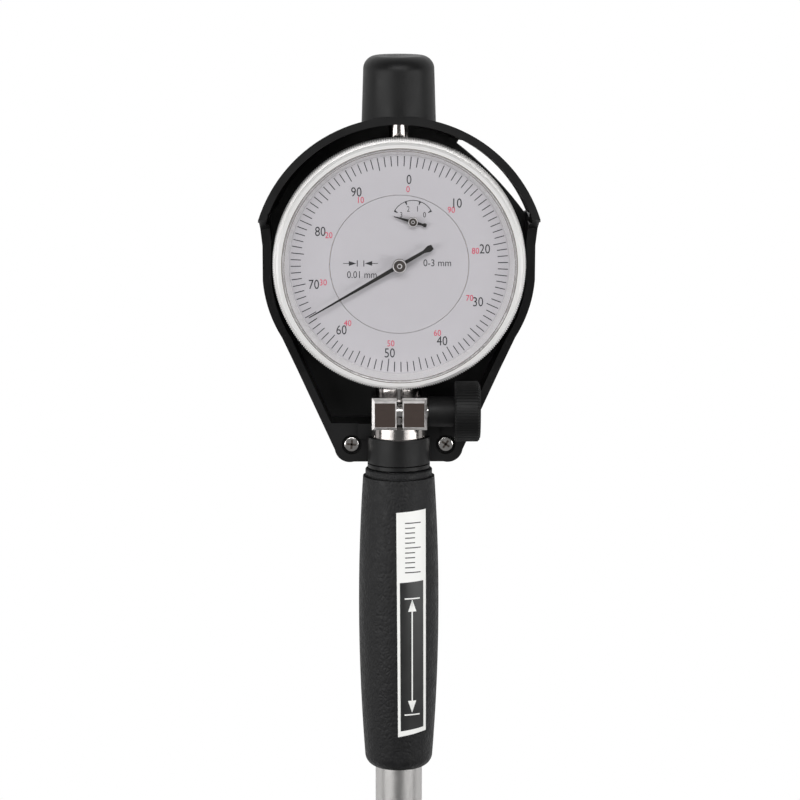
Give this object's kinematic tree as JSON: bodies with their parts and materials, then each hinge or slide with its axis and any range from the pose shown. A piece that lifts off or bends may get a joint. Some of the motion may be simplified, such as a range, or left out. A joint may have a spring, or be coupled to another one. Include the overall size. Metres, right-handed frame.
{
  "type": "dial bore gauge",
  "caption": "Dial bore gauge lying on its back: round dial under a black hooded guard, clamp knob, long grip and tube, and a lever head that measures across a bore.",
  "frame": {"origin": "on the table plane under the middle of the dial", "axes": "+X across the dial, +Y from the measuring head to the top cap, +Z out of the dial"},
  "size_m": [0.064, 0.3257, 0.0257],
  "materials": {
    "black_moulding": "satin",
    "grip": "fine leather grain",
    "black_ring": "satin",
    "chrome": "polished",
    "satin_steel": "satin chrome",
    "hardened_steel": "ground",
    "carbide": "polished carbide",
    "spring_steel": "bright",
    "brass": "satin",
    "small_screw": "bright",
    "back_metal": "satin",
    "dial_white": "matt",
    "hand_black": "satin",
    "hand_hub": "gloss",
    "crystal": "clear"
  },
  "bodies": {
    "gauge": {"guard_shell": "black_moulding", "guard_clamp_plate": "black_moulding", "handle_grip": "grip", "neck_collar": "black_ring", "guard_screws": "chrome", "clamp_sleeve": "chrome", "upper_barrel": "chrome", "indicator_stem": "chrome", "main_tube": "satin_steel", "head_body": "satin_steel", "head_end_plug": "satin_steel", "anvil_lock_nut": "satin_steel", "plunger_bush": "satin_steel", "indicator_case": "satin_steel", "pivot_pin": "hardened_steel", "anvil_rod": "hardened_steel", "spacer_washer": "hardened_steel", "anvil_tip": "carbide", "bridge_springs": "spring_steel", "hairspring": "spring_steel", "movement_base_plate": "brass", "movement_bridge_plate": "brass", "movement_pillars": "brass", "rack_cock": "brass", "rod_guide_bush": "brass", "dial_posts": "brass", "back_screws": "small_screw", "base_plate_screws": "small_screw", "back_cover": "back_metal", "centre_dial": "dial_white"},
    "bezel_set": {"bezel": "satin_steel", "crystal": "crystal", "scale_ring": "dial_white"},
    "knob": {"clamp_knob": "black_moulding", "clamp_screw": "chrome"},
    "bridge": {"centring_bridge": "satin_steel", "bridge_guide_pins": "hardened_steel", "bridge_skids": "hardened_steel"},
    "plunger": {"measuring_plunger": "hardened_steel", "plunger_tip": "carbide"},
    "crank": {"bell_crank": "hardened_steel"},
    "rod": {"transfer_rod": "hardened_steel"},
    "spindle_set": {"spindle": "hardened_steel", "contact_point": "hardened_steel"},
    "rack_wheel": {"rack_arbor": "hardened_steel", "main_wheel": "brass", "counter_drive_gear": "brass"},
    "main_hand": {"centre_arbor": "hardened_steel", "main_pointer": "hand_black", "main_pointer_hub": "hand_hub"},
    "count_hand": {"counter_gear": "brass", "small_pointer": "hand_black", "small_pointer_hub": "hand_hub"},
    "takeup": {"takeup_wheel": "brass"}
  },
  "joints": [
    {"name": "bezel_turn", "type": "hinge", "parent": "gauge", "child": "bezel_set", "pos_m": [0, 0, 0.012], "axis": [0, 0, 1], "continuous": true},
    {"name": "clamp_knob_turn", "type": "hinge", "parent": "gauge", "child": "knob", "pos_m": [0.012, -0.034, 0.019], "axis": [1, 0, 0], "range_deg": [0, 360]},
    {"name": "bridge_slide", "type": "slide", "parent": "gauge", "child": "bridge", "axis": [-1, 0, 0], "range_m": [0, 0.0025], "stiffness_N_per_m": 600, "springref_m": -0.003, "deforming": ["bridge_springs"]},
    {"name": "plunger_slide", "type": "slide", "parent": "gauge", "child": "plunger", "axis": [-1, 0, 0], "range_m": [0, 0.0016], "stiffness_N_per_m": 800, "springref_m": -0.004},
    {"name": "crank_turn", "type": "hinge", "parent": "gauge", "child": "crank", "pos_m": [0.005, -0.264, 0.012], "axis": [0, 0, 1], "range_deg": [-20, 1]},
    {"name": "rod_slide", "type": "slide", "parent": "gauge", "child": "rod", "axis": [0, 1, 0], "range_m": [-0.0001, 0.0018]},
    {"name": "spindle_slide", "type": "slide", "parent": "gauge", "child": "spindle_set", "axis": [0, 1, 0], "range_m": [-0.0001, 0.0018]},
    {"name": "rack_wheel_turn", "type": "hinge", "parent": "gauge", "child": "rack_wheel", "pos_m": [-0.003, 0.00709, 0.012], "axis": [0, 0, 1], "range_deg": [-5, 65]},
    {"name": "main_hand_turn", "type": "hinge", "parent": "gauge", "child": "main_hand", "pos_m": [0, 0, 0.012], "axis": [0, 0, 1], "range_deg": [-600, 30]},
    {"name": "count_hand_turn", "type": "hinge", "parent": "gauge", "child": "count_hand", "pos_m": [0.00306, 0.0098, 0.012], "axis": [0, 0, 1], "range_deg": [-70, 5]},
    {"name": "takeup_turn", "type": "hinge", "parent": "gauge", "child": "takeup", "pos_m": [0.0054, -0.00549, 0.012], "axis": [0, 0, 1], "range_deg": [-5, 65]}
  ],
  "couplings": [
    {"joint": "crank_turn", "follows": "plunger_slide", "rad_per_m": -200},
    {"joint": "rod_slide", "follows": "plunger_slide", "ratio": 1},
    {"joint": "spindle_slide", "follows": "plunger_slide", "ratio": 1},
    {"joint": "rack_wheel_turn", "follows": "plunger_slide", "rad_per_m": 628.32},
    {"joint": "main_hand_turn", "follows": "plunger_slide", "rad_per_m": -6283.2},
    {"joint": "count_hand_turn", "follows": "plunger_slide", "rad_per_m": -698.13},
    {"joint": "takeup_turn", "follows": "plunger_slide", "rad_per_m": 628.32}
  ]
}
